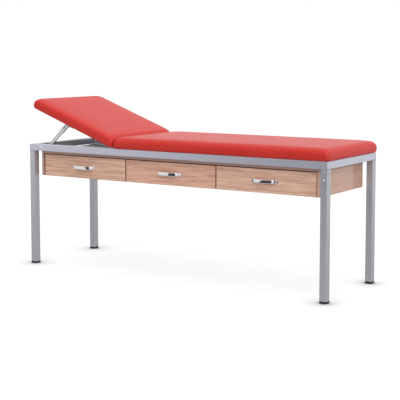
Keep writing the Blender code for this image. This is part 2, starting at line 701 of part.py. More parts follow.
def build_stay(side, sy):
    stay = make_pivot(f"stay_pivot_{side}", (STAY_X, 0, STAY_Z), -STAY_ANGLE)
    along = place((0, 0, 0), (0, sy, 0), Z_AXIS, X_AXIS)
    across = place((0, 0, 0), X_AXIS, Z_AXIS, (0, sy, 0))

    # bar: a channel open underneath, with notches through its outer face and upper edge
    shape = bmesh.new()
    outline = (
        (BAR_FACE, -BAR_HALF_WIDTH),
        (BAR_FACE, BAR_HALF_WIDTH),
        (BAR_INSIDE, BAR_HALF_WIDTH),
        (BAR_INSIDE, -BAR_HALF_WIDTH),
        (BAR_INSIDE + BAR_SHEET, -BAR_HALF_WIDTH),
        (BAR_INSIDE + BAR_SHEET, BAR_HALF_WIDTH - BAR_SHEET),
        (BAR_FACE - BAR_SHEET, BAR_HALF_WIDTH - BAR_SHEET),
        (BAR_FACE - BAR_SHEET, -BAR_HALF_WIDTH),
    )
    add_prism(shape, outline, along, -BAR_TAIL, BAR_LENGTH)
    bar = make_node(f"stay_bar_{side}", shape, ZINC, stay)
    cuts = bmesh.new()
    floor = BAR_HALF_WIDTH - NOTCH_DEPTH
    above = BAR_HALF_WIDTH + BAR_SHEET
    for i in range(NOTCH_COUNT):
        start = NOTCH_FIRST + i * NOTCH_PITCH - NOTCH_FLOOR / 2
        tooth = (
            (start, floor),
            (start + NOTCH_FLOOR, floor),
            (start + NOTCH_MOUTH, above),
            (start, above),
        )
        add_prism(cuts, tooth, across, BAR_INSIDE + BAR_SHEET, BAR_FACE + BAR_SHEET)
    bore = BOLT_RADIUS + HOLE_PLAY
    add_rod(cuts, across, bore, BAR_INSIDE - BAR_SHEET, BAR_FACE + BAR_SHEET, BOLT_SIDES)
    combine(bar, make_tool(f"cut_bar_{side}", cuts, stay), "DIFFERENCE")

    # sheath: a channel folded round the bar, its lips on the outer face, a stud on the inner one
    shape = bmesh.new()
    outline = lipped_channel(
        SHEATH_INSIDE, SHEATH_FACE, SHEATH_LOW, SHEATH_HIGH, STAY_SHEET, SHEATH_LIP
    )
    add_prism(shape, outline, along, SHEATH_START, SHEATH_END)
    sheath = make_node(f"stay_sheath_{side}", shape, ZINC, stay)
    head = BRACKET_INSIDE - 2 * FIT
    stud = (
        (STUD_HEAD_RADIUS, head - STUD_HEAD_HEIGHT, False),
        (STUD_HEAD_RADIUS, head, False),
        (STUD_RADIUS, head, False),
        (STUD_RADIUS, SHEATH_INSIDE + STAY_SHEET / 2, False),
    )
    shape = bmesh.new()
    add_turned(shape, stud, place((STAY_SPAN, 0, 0), X_AXIS, Z_AXIS, (0, sy, 0)), STUD_SIDES)
    combine(sheath, make_tool(f"join_stud_{side}", shape, stay), "UNION")

    # pawl: lies over the notches inside the sheath, its pin through the upper lip
    pin_u = SHEATH_START + PAWL_PIVOT
    low = BAR_HALF_WIDTH + FIT
    high = BAR_HALF_WIDTH + PAWL_SPACE - FIT
    middle = (low + high) / 2
    tip = pin_u - PAWL_LENGTH
    at_pin = place((pin_u, 0, middle), X_AXIS, Z_AXIS, (0, sy, 0))
    shape = bmesh.new()
    add_rod(shape, at_pin, PAWL_PIN + HOLE_PLAY, BAR_FACE, SHEATH_FACE + STAY_SHEET, STUD_SIDES)
    combine(sheath, make_tool(f"cut_pawl_pin_{side}", shape, stay), "DIFFERENCE")
    outline = (
        (tip, low),
        (tip + PAWL_HOOK / 2, low),
        (tip + PAWL_HOOK, middle),
        (pin_u - PAWL_HOOK, low),
        (pin_u + PAWL_HOOK, low),
        (pin_u + PAWL_HOOK, high),
        (tip, high),
    )
    shape = bmesh.new()
    add_prism(shape, outline, across, BAR_INSIDE, BAR_FACE)
    pawl = make_node(f"stay_pawl_{side}", shape, DARK_STEEL, stay)
    shape = bmesh.new()
    add_rod(shape, at_pin, PAWL_PIN, BAR_FACE - BAR_SHEET, SHEATH_FACE, STUD_SIDES)
    combine(pawl, make_tool(f"join_pawl_pin_{side}", shape, stay), "UNION")


def build_bracket(side, sy, backrest):
    # angle under the backrest board; its slot lets the stud travel as the backrest turns
    reach = STUD_RADIUS + 2 * HOLE_PLAY
    slot_near = -STAY_BRACKET_REACH - reach
    slot_far = -STAY_BRACKET_REACH + SLOT_TRAVEL + reach
    slot_top = -STAY_STUD_DROP + reach
    slot_bottom = -STAY_STUD_DROP - SLOT_DROP - reach
    ear_bottom = slot_bottom - BRACKET_MARGIN / 2
    flange_top = BACKREST_UNDER - FIT
    flange_end = BRACKET_INSIDE - BRACKET_FLANGE
    outline = (
        (BRACKET_FACE, flange_top),
        (BRACKET_FACE, ear_bottom),
        (BRACKET_INSIDE, ear_bottom),
        (BRACKET_INSIDE, flange_top - BRACKET_SHEET),
        (flange_end, flange_top - BRACKET_SHEET),
        (flange_end, flange_top),
    )
    shape = bmesh.new()
    along = place((0, 0, 0), (0, sy, 0), Z_AXIS, X_AXIS)
    add_prism(shape, outline, along, slot_near - BRACKET_MARGIN, slot_far + BRACKET_MARGIN)
    bracket = make_node(f"stay_bracket_{side}", shape, ZINC, backrest)
    slot = rounded(slot_near, slot_far, slot_bottom, slot_top, reach, TUBE_CORNER_STEPS)
    cuts = bmesh.new()
    across = place((0, 0, 0), X_AXIS, Z_AXIS, (0, sy, 0))
    add_prism(cuts, slot, across, BRACKET_INSIDE - BRACKET_SHEET, BRACKET_FACE + BRACKET_SHEET)
    combine(bracket, make_tool(f"cut_slot_{side}", cuts, backrest), "DIFFERENCE")


clear_scene()

STEEL_PAINT = make_material("silver_grey_paint", (0.42, 0.42, 0.46), 0.42, 0.35)
ZINC = make_material("zinc_plate", (0.62, 0.62, 0.64), 0.35, 0.9)
DARK_STEEL = make_material("dark_steel", (0.06, 0.06, 0.065), 0.45, 0.8)
CHROME = make_material("chrome", (0.75, 0.75, 0.77), 0.1, 1.0)
BLACK_PLASTIC = make_material("black_plastic", (0.018, 0.018, 0.02), 0.55, 0.0)
RUNNER_PLASTIC = make_material("runner_plastic", (0.75, 0.74, 0.7), 0.4, 0.0)
OAK_BOARD = make_material("oak_board", (0.56, 0.34, 0.25), 0.5, 0.0)
BOX_WOOD = make_material("box_wood", (0.66, 0.54, 0.4), 0.6, 0.0)
BED_WOOD = make_material("bed_wood", (0.6, 0.45, 0.3), 0.7, 0.0)
RED_VINYL = make_material("red_vinyl", (0.56, 0.045, 0.04), 0.42, 0.0)

build_rails()
for corner, sx, sy in CORNERS:
    build_leg(corner, sx, sy)
    build_foot(corner, sx, sy)
build_cabinet()
for i in range(DRAWERS):
    build_drawer(i)
build_pad("body", BODY_LENGTH, HINGE_X, 1, PAD_BOTTOM, None)
backrest = make_pivot("backrest_pivot", (HINGE_X, 0, HINGE_Z), BACKREST_ANGLE)
build_pad("backrest", BACKREST_LENGTH + BACKREST_HEAD_REACH, 0.0, -1, BACKREST_UNDER, backrest)
build_hinge(backrest)
for side, sy in SIDES:
    build_pivot_bolt(side, sy)
    build_stay(side, sy)
    build_bracket(side, sy, backrest)
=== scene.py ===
import json
import math

import bmesh
import bpy
from mathutils import Matrix, Vector


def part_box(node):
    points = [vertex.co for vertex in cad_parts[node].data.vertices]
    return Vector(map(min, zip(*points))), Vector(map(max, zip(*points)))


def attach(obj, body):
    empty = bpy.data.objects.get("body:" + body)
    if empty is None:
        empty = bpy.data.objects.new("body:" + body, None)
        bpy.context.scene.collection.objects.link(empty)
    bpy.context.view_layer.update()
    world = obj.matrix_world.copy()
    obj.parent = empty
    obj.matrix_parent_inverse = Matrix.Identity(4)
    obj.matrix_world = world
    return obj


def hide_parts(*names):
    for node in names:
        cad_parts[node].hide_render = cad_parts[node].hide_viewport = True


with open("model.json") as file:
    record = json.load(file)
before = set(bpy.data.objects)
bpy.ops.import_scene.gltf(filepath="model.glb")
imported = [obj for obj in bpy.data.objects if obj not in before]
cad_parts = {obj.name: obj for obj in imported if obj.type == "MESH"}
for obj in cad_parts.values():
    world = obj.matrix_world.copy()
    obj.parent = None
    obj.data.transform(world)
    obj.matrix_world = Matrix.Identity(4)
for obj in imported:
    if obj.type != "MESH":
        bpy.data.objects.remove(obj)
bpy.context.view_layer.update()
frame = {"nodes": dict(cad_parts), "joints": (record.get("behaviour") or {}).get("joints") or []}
nodes = frame["nodes"]
joints = {joint["name"]: joint for joint in frame["joints"]}


class Wire:  # an output socket, so that shader maths reads as plain expressions
    def __init__(self, finish, socket):
        self.finish = finish
        self.socket = socket

    def math(self, operation, first, second=0.0):
        return self.finish.node("ShaderNodeMath", {"operation": operation}, {0: first, 1: second})

    def __add__(self, other):
        return self.math("ADD", self, other)

    def __radd__(self, other):
        return self.math("ADD", other, self)

    def __sub__(self, other):
        return self.math("SUBTRACT", self, other)

    def __rsub__(self, other):
        return self.math("SUBTRACT", other, self)

    def __mul__(self, other):
        return self.math("MULTIPLY", self, other)

    def __rmul__(self, other):
        return self.math("MULTIPLY", other, self)

    def __truediv__(self, other):
        return self.math("DIVIDE", self, other)

    def __rtruediv__(self, other):
        return self.math("DIVIDE", other, self)

    def __abs__(self):
        return self.math("ABSOLUTE", self)

    def floor(self):
        return self.math("FLOOR", self)

    def sign(self):
        return self.math("SIGN", self)

    def most(self, other):
        return self.math("MAXIMUM", self, other)


class Finish:  # the nodes of one material or world
    def __init__(self, tree):
        self.tree = tree
        self.shader = tree.nodes.get("Principled BSDF")

    def node(self, kind, settings=None, sockets=None, out=0):
        made = self.tree.nodes.new(kind)
        for key, value in (settings or {}).items():
            if key == "stops":
                setStops(made.color_ramp, value)
            else:
                setattr(made, key, value)
        for key, value in (sockets or {}).items():
            self.feed(made.inputs[key], value)
        return Wire(self, made.outputs[out])

    def feed(self, socket, value):
        if isinstance(value, Wire):
            self.tree.links.new(value.socket, socket)
        else:
            socket.default_value = value

    def set(self, **values):  # shader sockets by their names, with spaces written as _
        for key, value in values.items():
            self.feed(self.shader.inputs[key.replace("_", " ")], value)

    def place(self, scale=(1, 1, 1)):  # metres on the piece, stretched
        spot = self.node("ShaderNodeTexCoord", out="Object")
        return self.node("ShaderNodeMapping", None, {"Vector": spot, "Scale": scale})

    def noise(self, vector, scale, detail=2.0, rough=0.5, twist=0.0):
        sockets = {"Vector": vector, "Scale": scale, "Detail": detail, "Roughness": rough}
        sockets["Distortion"] = twist
        return self.node("ShaderNodeTexNoise", None, sockets)

    def band(self, value, low, high):  # soft step from 0 at low to 1 at high
        sockets = {"Value": value, "From Min": low, "From Max": high}
        return self.node("ShaderNodeMapRange", {"interpolation_type": "SMOOTHSTEP"}, sockets)

    def mix(self, factor, first, second):  # colours
        return self.node("ShaderNodeMix", {"data_type": "RGBA"}, {0: factor, 6: first, 7: second}, 2)

    def ramp(self, factor, stops):
        return self.node("ShaderNodeValToRGB", {"stops": stops}, {"Fac": factor})

    def bump(self, height, depth, strength=1.0, under=None):
        sockets = {"Height": height, "Distance": depth, "Strength": strength}
        if under:
            sockets["Normal"] = under
        return self.node("ShaderNodeBump", None, sockets)

    def edges(self, radius, low=0.02, high=0.2):  # 0 on flat faces, rising where the face turns at an edge
        soft = self.node("ShaderNodeBevel", {"samples": 4}, {"Radius": radius})
        flat = self.node("ShaderNodeNewGeometry", out="Normal")
        same = self.node("ShaderNodeVectorMath", {"operation": "DOT_PRODUCT"}, {0: soft, 1: flat}, "Value")
        return self.band(1 - same, low, high)


def setStops(ramp, stops):
    while len(ramp.elements) < len(stops):
        ramp.elements.new(1.0)
    for element, (spot, colour) in zip(ramp.elements, stops):
        element.position = spot
        element.color = colour


def makeFinish(name):
    material = bpy.data.materials.new(name)
    material.use_nodes = True
    finish = Finish(material.node_tree)
    finish.material = material
    return finish


def shade(colour, times):
    return tuple(min(1.0, part * times) for part in colour[:3]) + (1.0,)


def toned(colour, gains):
    return tuple(min(1.0, part * gain) for part, gain in zip(colour, gains)) + (1.0,)


def dress(names, finish):
    for name in names:
        nodes[name].material_slots[0].material = finish.material


def named(start):
    return [name for name in nodes if name.startswith(start)]


# silver-grey stoved paint on the tubes
framePaint = {
    # the rails are lighter than the legs: painted light, as more light falls on the rails from above
    "railColour": (0.555, 0.563, 0.65, 1),
    "legColour": (0.475, 0.478, 0.525, 1),
    "toneScale": 7,
    "toneSpread": 0.05,
    "flakeScale": 1900,
    "flakeSpread": 0.06,
    "flakeGain": 1.9,
    "metallic": 0.65,
    "roughness": 0.35,
    "peelScale": 420,
    "peelDepth": 0.00002,
    "cornerRound": 0.003,
    "patchStretch": (60, 60, 9),
    "edgeReach": 0.002,
    # the rails' edges are lighter: rubbed paint, with a painted highlight
    "railWorn": (0.72, 0.72, 0.74, 1),
    "legWorn": (0.08, 0.08, 0.09, 1),  # painted dark reflection: the legs' corners are darkened along their edges
    "railWear": 0.4,
    "legWear": 0.8,
}


def paintFinish(spec, name, part):
    base, edgeShading, edgeShare = (spec[part + key] for key in ("Colour", "Worn", "Wear"))
    finish = makeFinish(name)
    spot = finish.place()
    tone = finish.noise(spot, spec["toneScale"], 3)
    flake = finish.noise(spot, spec["flakeScale"], 1)
    peel = finish.noise(spot, spec["peelScale"], 2, 0.4)
    patch = finish.noise(finish.place(spec["patchStretch"]), 1, 5, 0.7)
    low, high = (shade(base, 1 + sign * spec["toneSpread"]) for sign in (-1, 1))
    colour = finish.mix(tone, low, high)
    spark = finish.band(flake, 0.35, 0.75)
    colour = finish.mix(spark * spec["flakeSpread"], colour, shade(base, spec["flakeGain"]))
    # edges take a patchy tone: on the rails rubbed paint and a painted highlight, on the legs a painted
    # dark reflection
    edgeMark = finish.edges(spec["edgeReach"]) * finish.band(patch, 0.3, 0.6) * edgeShare
    colour = finish.mix(edgeMark, colour, edgeShading)
    finish.set(Base_Color=colour, Metallic=spec["metallic"] + 0.3 * edgeMark)
    finish.set(Roughness=spec["roughness"] + 0.1 * (tone - 0.5) - 0.05 * spark)
    corner = finish.node("ShaderNodeBevel", {"samples": 6}, {"Radius": spec["cornerRound"]})
    finish.set(Normal=finish.bump(peel, spec["peelDepth"], 1.0, corner))
    return finish


rails = [name for name in nodes if name.endswith("_rail")]
legs = ["leg_front_head", "leg_front_foot", "leg_rear_head", "leg_rear_foot"]
dress(rails, paintFinish(framePaint, "railPaint", "rail"))
dress(legs, paintFinish(framePaint, "legPaint", "leg"))
print("frame painted")

# warm laminate with long grain on the cabinet and the drawer fronts
cabinetWood = {
    "pale": (0.76, 0.48, 0.35, 1),
    "middle": (0.66, 0.39, 0.285, 1),
    "dark": (0.50, 0.28, 0.20, 1),
    "pore": (0.36, 0.18, 0.12, 1),
    "bandColour": (0.54, 0.33, 0.28, 1),
    "gapShade": (0.13, 0.05, 0.03, 1),
    "frontTones": [  # red, green and blue gains of each front
        (1.13, 1.16, 1.15),
        (1.10, 1.04, 1.03),
        (1.13, 1.16, 1.17),
    ],
    "endTone": (0.84, 0.80, 0.77),
    "frontGrain": 0.09,  # half width of the colour ramp: the smaller, the stronger the grain
    "endGrain": 0.17,
    # the foot end's edge band is lighter than bandColour: painted light
    "footBandLit": (0.78, 0.50, 0.39, 1),
    "upperFaceShade": (0.10, 0.085, 0.08, 1),
    "inside": (0.15, 0.07, 0.045, 1),
    "flowStretch": (1.1, 5.0),  # along and across the grain
    "bandStretch": (3.4, 95.0),
    "streakStretch": (9.0, 190.0),
    "poreStretch": (26.0, 900.0),
    "flowShare": 0.16,
    "bandShare": 0.48,
    "streakShare": 0.36,
    "poreShare": 0.55,
    "sheetStart": 0.93,  # each front is cut from its own stretch of sheet
    "sheetLength": 0.621,
    "sheetJump": 3.7,
    "roughness": 0.42,
    "endRoughness": 0.07,  # the end panels mirror the legs a little
    "shine": 0.5,
    "endShine": 1.0,
    "poreDepth": 0.00008,
}


def woodFinish(spec, along, name, tone, reach, band=None):
    finish = makeFinish(name)
    across = [axis for axis in range(3) if axis != along]
    sheet = finish.node("ShaderNodeSeparateXYZ", None, {0: finish.place()}, along)
    board = ((sheet + spec["sheetStart"]) / spec["sheetLength"]).floor() * spec["sheetJump"]
    shift = finish.node("ShaderNodeCombineXYZ", None, {axis: board for axis in across})

    def stretched(length, width):
        scale = [width] * 3
        scale[along] = length
        moved = finish.node("ShaderNodeVectorMath", {"operation": "ADD"}, {0: finish.place(), 1: shift})
        return finish.node("ShaderNodeMapping", None, {"Vector": moved, "Scale": scale})

    flow = finish.noise(stretched(*spec["flowStretch"]), 1, 2)
    bands = finish.noise(stretched(*spec["bandStretch"]), 1, 4, 0.62, 0.35)
    streaks = finish.noise(stretched(*spec["streakStretch"]), 1, 3, 0.65)
    pores = finish.noise(stretched(*spec["poreStretch"]), 1, 2, 0.7)
    grain = spec["bandShare"] * bands + spec["streakShare"] * streaks + spec["flowShare"] * flow
    stops = [(0.5 - reach, "dark"), (0.5, "middle"), (0.5 + reach, "pale")]
    colour = finish.ramp(grain, [(spot, toned(spec[depth], tone)) for spot, depth in stops])
    pore = finish.band(pores, 0.6, 0.74) * finish.band(bands, 0.62, 0.4)
    colour = finish.mix(pore * spec["poreShare"], colour, spec["pore"])
    normal = finish.node("ShaderNodeNewGeometry", out="Normal")
    facing = abs(finish.node("ShaderNodeSeparateXYZ", None, {0: normal}, 1))
    if band:  # the front edges of the panels carry a plain band
        tint = finish.mix(streaks, shade(band, 0.88), shade(band, 1.1))
        colour = finish.mix(finish.band(facing, 0.8, 0.95), colour, tint)
        rise = finish.node("ShaderNodeSeparateXYZ", None, {0: normal}, 2)
        colour = finish.mix(finish.band(rise, 0.8, 0.95), colour, spec["upperFaceShade"])  # painted shade on the upper faces
        # painted shade on the inner faces of the panels
        side = finish.node("ShaderNodeSeparateXYZ", None, {0: finish.place()}, 0)
        inward = -1 * side.sign() * finish.node("ShaderNodeSeparateXYZ", None, {0: normal}, 0)
        colour = finish.mix(finish.band(inward, 0.8, 0.95), colour, spec["inside"])
    else:  # the drawer fronts and the back are dark round their edges: painted shade in the gaps between them
        colour = finish.mix(finish.band(facing, 0.75, 0.95), spec["gapShade"], colour)
    finish.set(Base_Color=colour)
    rough, shine = ("endRoughness", "endShine") if along == 1 else ("roughness", "shine")
    finish.set(Roughness=spec[rough] + 0.16 * pore + 0.08 * (streaks - 0.5))
    finish.set(Specular_IOR_Level=spec[shine])
    finish.set(Normal=finish.bump(1 - pore, spec["poreDepth"], 0.7))
    return finish


plain = (1, 1, 1)
frontGrain, endGrain = cabinetWood["frontGrain"], cabinetWood["endGrain"]
bandColour, endTone = cabinetWood["bandColour"], cabinetWood["endTone"]
for number, tone in enumerate(cabinetWood["frontTones"], 1):
    front = woodFinish(cabinetWood, 0, f"laminateFront{number}", tone, frontGrain)
    dress([f"drawer_{number}_front"], front)
dress(["cabinet_back"], woodFinish(cabinetWood, 0, "laminateBack", plain, frontGrain))
dress(["cabinet_top"], woodFinish(cabinetWood, 0, "laminateTop", plain, frontGrain, bandColour))
ends = woodFinish(cabinetWood, 1, "laminateEnds", endTone, endGrain, bandColour)
dress(["cabinet_head_end", "cabinet_divider_1", "cabinet_divider_2"], ends)
footEnd = woodFinish(cabinetWood, 1, "laminateFoot", endTone, endGrain, cabinetWood["footBandLit"])
dress(["cabinet_foot_end"], footEnd)
print("cabinet veneered")

# pale board of the drawer boxes
boxBoard = {
    "pale": (0.74, 0.62, 0.47, 1),
    "dark": (0.60, 0.47, 0.33, 1),
    "ringStretch": (18, 3, 45),
    "fibreStretch": (240, 14, 420),
    "fibreDepth": 0.00006,
    "roughness": 0.55,
}


def boardFinish(spec):
    finish = makeFinish("birchBoard")
    rings = finish.noise(finish.place(spec["ringStretch"]), 1, 4, 0.6, 0.5)
    fibre = finish.noise(finish.place(spec["fibreStretch"]), 1, 2)
    colour = finish.mix(finish.band(0.7 * rings + 0.3 * fibre, 0.35, 0.65), spec["dark"], spec["pale"])
    finish.set(Base_Color=colour, Roughness=spec["roughness"] + 0.15 * (fibre - 0.5))
    finish.set(Normal=finish.bump(fibre, spec["fibreDepth"]))
    return finish


dress([name for name in named("drawer_") if name.endswith(("_box", "_bottom"))], boardFinish(boxBoard))

# pressed chip board under the pads
padBoard = {
    "pale": (0.66, 0.50, 0.32, 1),
    "middle": (0.50, 0.35, 0.20, 1),
    "dark": (0.30, 0.19, 0.10, 1),
    "chip": 130.0,
    "chipStretch": (1, 0.45, 2),
    "chipDepth": 0.0002,
    "dustScale": 900,
    "roughness": 0.7,
}


def chipFinish(spec):
    finish = makeFinish("chipBoard")
    settings = {"feature": "F1", "distance": "MANHATTAN"}
    sockets = {"Vector": finish.place(spec["chipStretch"]), "Scale": spec["chip"], "Randomness": 1.0}
    chips = finish.node("ShaderNodeTexVoronoi", settings, sockets, "Color")
    level = finish.node("ShaderNodeSeparateColor", None, {0: chips}, 0)
    fine = finish.noise(finish.place(), spec["dustScale"], 2)
    stops = [(0.1, spec["dark"]), (0.4, spec["middle"]), (0.85, spec["pale"])]
    finish.set(Base_Color=finish.ramp(0.75 * level + 0.25 * fine, stops))
    finish.set(Roughness=spec["roughness"] + 0.15 * (level - 0.5))
    finish.set(Normal=finish.bump(level + fine, spec["chipDepth"], 0.5))
    return finish


dress(["body_board", "backrest_board"], chipFinish(padBoard))
print("boards done")

# bright zinc plate on the stays, the hinge and the bolts
zincPlate = {
    "colour": (0.86, 0.865, 0.88, 1),
    "tint": (0.80, 0.805, 0.81, 1),
    "dull": (0.42, 0.42, 0.43, 1),
    "recessShade": (0.03, 0.03, 0.032, 1),
    "recessShadeReach": 0.014,
    "cloudScale": 34,
    "spotScale": 260,
    "lineStretch": (70, 900, 900),
    "lineDepth": 0.00003,
    "roughness": 0.42,
    "boltMetallic": 0.4,
}


def zincFinish(spec, name, metallic):
    finish = makeFinish(name)
    cloud = finish.noise(finish.place(), spec["cloudScale"], 4, 0.6)
    lines = finish.noise(finish.place(spec["lineStretch"]), 1, 2)
    spots = finish.band(finish.noise(finish.place(), spec["spotScale"], 3), 0.62, 0.72)
    colour = finish.mix(finish.band(cloud, 0.35, 0.7), spec["colour"], spec["tint"])
    colour = finish.mix(spots * 0.5, colour, spec["dull"])
    # painted shade: the zinc is darkened to near black in its own recesses and notches
    sockets = {"Distance": spec["recessShadeReach"]}
    unoccluded = finish.node("ShaderNodeAmbientOcclusion", {"samples": 8, "only_local": True}, sockets, "AO")
    colour = finish.mix(finish.band(unoccluded, 0.5, 0.95), spec["recessShade"], colour)
    finish.set(Base_Color=colour, Metallic=metallic)
    finish.set(Roughness=spec["roughness"] + 0.18 * (lines - 0.5) + 0.15 * spots)
    finish.set(Normal=finish.bump(lines, spec["lineDepth"]))
    return finish


zinc = zincFinish(zincPlate, "zincPlate", 1.0)
dress(named("leg_socket_"), zincFinish(zincPlate, "boltZinc", zincPlate["boltMetallic"]))
dress(named("hinge_fixed") + named("hinge_moving") + ["hinge_pin"], zinc)
dress(named("stay_bolt_") + named("stay_bar_") + named("stay_sheath_") + named("stay_bracket_"), zinc)

# blacked steel of the pawls
pawlSteel = {
    "colour": (0.055, 0.055, 0.06, 1),
    "bright": (0.35, 0.35, 0.36, 1),
    "cloudScale": 220,
    "edgeReach": 0.0006,
    "metallic": 0.9,
    "roughness": 0.42,
}


def pawlFinish(spec):
    finish = makeFinish("blackedSteel")
    cloud = finish.noise(finish.place(), spec["cloudScale"], 4, 0.65)
    edgeMark = finish.edges(spec["edgeReach"]) * finish.band(cloud, 0.4, 0.6)
    finish.set(Base_Color=finish.mix(edgeMark, spec["colour"], spec["bright"]), Metallic=spec["metallic"])
    finish.set(Roughness=spec["roughness"] + 0.2 * (cloud - 0.5))
    return finish


dress(named("stay_pawl_"), pawlFinish(pawlSteel))

# chrome drawer pulls: a bowed strap with a rounded face
pullChrome = {
    "colour": (0.78, 0.78, 0.80, 1),
    "roughness": 0.025,
    "hairStretch": (25, 900, 900),
    "hairRoughness": 0.05,
    "smearScale": 60,
    "smearRoughness": 0.04,
}
pullShape = {
    "steps": 72,
    "faceSteps": 14,
    "foot": 0.008,  # flat on the front at each end
    "rise": 0.016,
    "bow": 0.012,
    "strap": 0.0035,
    "swell": 0.0002,  # the face is thickest at the middle of its height
    "edge": 0.0007,
    "edgeFrom": 0.85,  # share of the half height where the edge starts to turn
    "sharp": 40,
}


def chromeFinish(spec):
    finish = makeFinish("pullChrome")
    hairs = finish.noise(finish.place(spec["hairStretch"]), 1, 2)
    smear = finish.noise(finish.place(), spec["smearScale"], 3)
    finish.set(Base_Color=finish.mix(smear, shade(spec["colour"], 0.95), shade(spec["colour"], 1.05)))
    rough = spec["hairRoughness"] * finish.band(hairs, 0.5, 0.8) + spec["smearRoughness"] * smear
    finish.set(Metallic=1.0, Roughness=spec["roughness"] + rough)
    return finish


def pullSection(spec, half):
    # height and thickness round the strap, up its back and down its face
    count = spec["faceSteps"]
    section = [(half * (2 * i / count - 1), 0.0) for i in range(count + 1)]
    for i in range(count + 1):
        v = 1 - 2 * i / count
        turn = max(0.0, abs(v) - spec["edgeFrom"]) / (1 - spec["edgeFrom"])
        section.append((half * v, spec["strap"] - spec["swell"] * v * v - spec["edge"] * turn * turn))
    return section


def makePull(number, spec, finish):
    node = f"drawer_{number}_handle"
    low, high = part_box(node)
    middle = (low + high) / 2
    half = (high.x - low.x) / 2
    stand = high.y - low.y - spec["strap"]
    line = []
    for i in range(spec["steps"] + 1):
        x = half * (2 * i / spec["steps"] - 1)
        t = min(1.0, max(0.0, (half - abs(x) - spec["foot"]) / spec["rise"]))
        line.append(Vector((x, (stand - spec["bow"] * (x / half) ** 2) * t * t * (3 - 2 * t))))
    section = pullSection(spec, (high.z - low.z) / 2)
    shape = bmesh.new()
    rings = []
    for i, spot in enumerate(line):
        run = (line[min(i + 1, spec["steps"])] - line[max(i - 1, 0)]).normalized()
        ring = []
        for height, depth in section:
            x, y = spot.x - run.y * depth, spot.y + run.x * depth
            ring.append(shape.verts.new((middle.x + x, high.y - y, middle.z + height)))
        rings.append(ring)
    for ring, following in zip(rings, rings[1:]):
        for i in range(len(ring)):
            j = (i + 1) % len(ring)
            shape.faces.new((ring[i], ring[j], following[j], following[i]))
    shape.faces.new(rings[0])
    shape.faces.new(rings[-1])
    bmesh.ops.recalc_face_normals(shape, faces=shape.faces[:])
    mesh = bpy.data.meshes.new(f"pull{number}")
    shape.to_mesh(mesh)
    shape.free()
    mesh.shade_smooth()
    mesh.set_sharp_from_angle(angle=math.radians(spec["sharp"]))
    mesh.materials.append(finish.material)
    pull = bpy.data.objects.new(f"drawer_{number}_pull", mesh)
    bpy.context.scene.collection.objects.link(pull)
    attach(pull, f"drawer_{number}")
    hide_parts(node)


chrome = chromeFinish(pullChrome)
for number in (1, 2, 3):
    makePull(number, pullShape, chrome)
print("pulls formed")

# moulded feet and drawer runners
footRubber = {"colour": (0.006, 0.006, 0.007, 1), "dust": (0.018, 0.017, 0.016, 1), "roughness": 0.6}
runnerPlastic = {"colour": (0.72, 0.71, 0.67, 1), "dust": (0.52, 0.50, 0.46, 1), "roughness": 0.38}
mouldGrain = {"gritScale": 1300, "gritDepth": 0.00006, "cloudScale": 75, "dustShare": 0.5}


def mouldedFinish(spec, grain, name):
    finish = makeFinish(name)
    grit = finish.noise(finish.place(), grain["gritScale"], 2)
    cloud = finish.noise(finish.place(), grain["cloudScale"], 4, 0.6)
    dusty = finish.band(cloud, 0.5, 0.8) * grain["dustShare"]
    finish.set(Base_Color=finish.mix(dusty, spec["colour"], spec["dust"]))
    finish.set(Roughness=spec["roughness"] + 0.2 * (cloud - 0.5))
    finish.set(Normal=finish.bump(grit, grain["gritDepth"]))
    return finish


dress(named("foot_cap_"), mouldedFinish(footRubber, mouldGrain, "footRubber"))
dress(named("runner_"), mouldedFinish(runnerPlastic, mouldGrain, "runnerPlastic"))
print("metal and plastic done")

# red vinyl cover
padVinyl = {
    "colour": (0.57, 0.022, 0.015, 1),
    "creaseShade": (0.45, 0.016, 0.012, 1),
    "light": (0.64, 0.034, 0.023, 1),
    "pebble": 620.0,
    "pebbleDepth": 0.00006,
    "pebbleMelt": 0.6,
    "fineScale": 2400,
    "fineDepth": 0.00003,
    "toneScale": 5,
    "roughness": 0.36,
    "shine": 0.31,
}


def vinylFinish(spec):
    finish = makeFinish("redVinyl")
    spot = finish.place()
    sockets = {"Vector": spot, "Scale": spec["pebble"], "Smoothness": spec["pebbleMelt"]}
    pebble = finish.node("ShaderNodeTexVoronoi", {"feature": "SMOOTH_F1"}, sockets)
    fine = finish.noise(spot, spec["fineScale"], 2)
    tone = finish.noise(spot, spec["toneScale"], 3)
    colour = finish.mix(tone, spec["colour"], spec["light"])
    # painted shade: darker in the creases between the pebbles
    colour = finish.mix(finish.band(pebble, 0.35, 0.7) * 0.5, colour, spec["creaseShade"])
    finish.set(Base_Color=colour, Specular_IOR_Level=spec["shine"])
    finish.set(Roughness=spec["roughness"] + 0.1 * (tone - 0.5) + 0.08 * pebble)
    grain = finish.bump(1 - pebble, spec["pebbleDepth"], 0.6)
    finish.set(Normal=finish.bump(fine, spec["fineDepth"], 0.5, grain))
    return finish


vinyl = vinylFinish(padVinyl)

# pads: foam on a board, vinyl drawn over it and tucked under the edge
padShape = {
    "cell": 0.021,
    "cornerCells": 3,
    "edge": 0.036,  # radius of the upper edge
    "edgeSteps": 6,
    "draw": 0.0085,  # how far the sides pull in toward the board
    "drawHeight": 0.024,
    "drawSteps": 4,
    "corner": 0.016,
    "cornerGrowth": 0.7,
    "wrap": 0.0215,  # how far the cover goes round under the foam
    "endWrap": 0.014,
    "leanShare": 0.53,  # lean of the end at the hinge, as a share of the backrest's lift
    "tuckCorner": 0.004,
    "pocket": 0.0153,  # height of the recess that takes the board
    "crown": 0.003,
    "swell": 0.0012,  # left free for the cover to swell
    "boardLevel": 0.001,  # what lies lower is the foot of the foam
    "heldLoops": 3,  # the tuck and the lower edge keep still
    "pressure": 0.03,
    "stretchStiffness": 40,
    "bendStiffness": 2,
    "quality": 6,
    "frames": 16,
    "moveCap": 0.004,
}


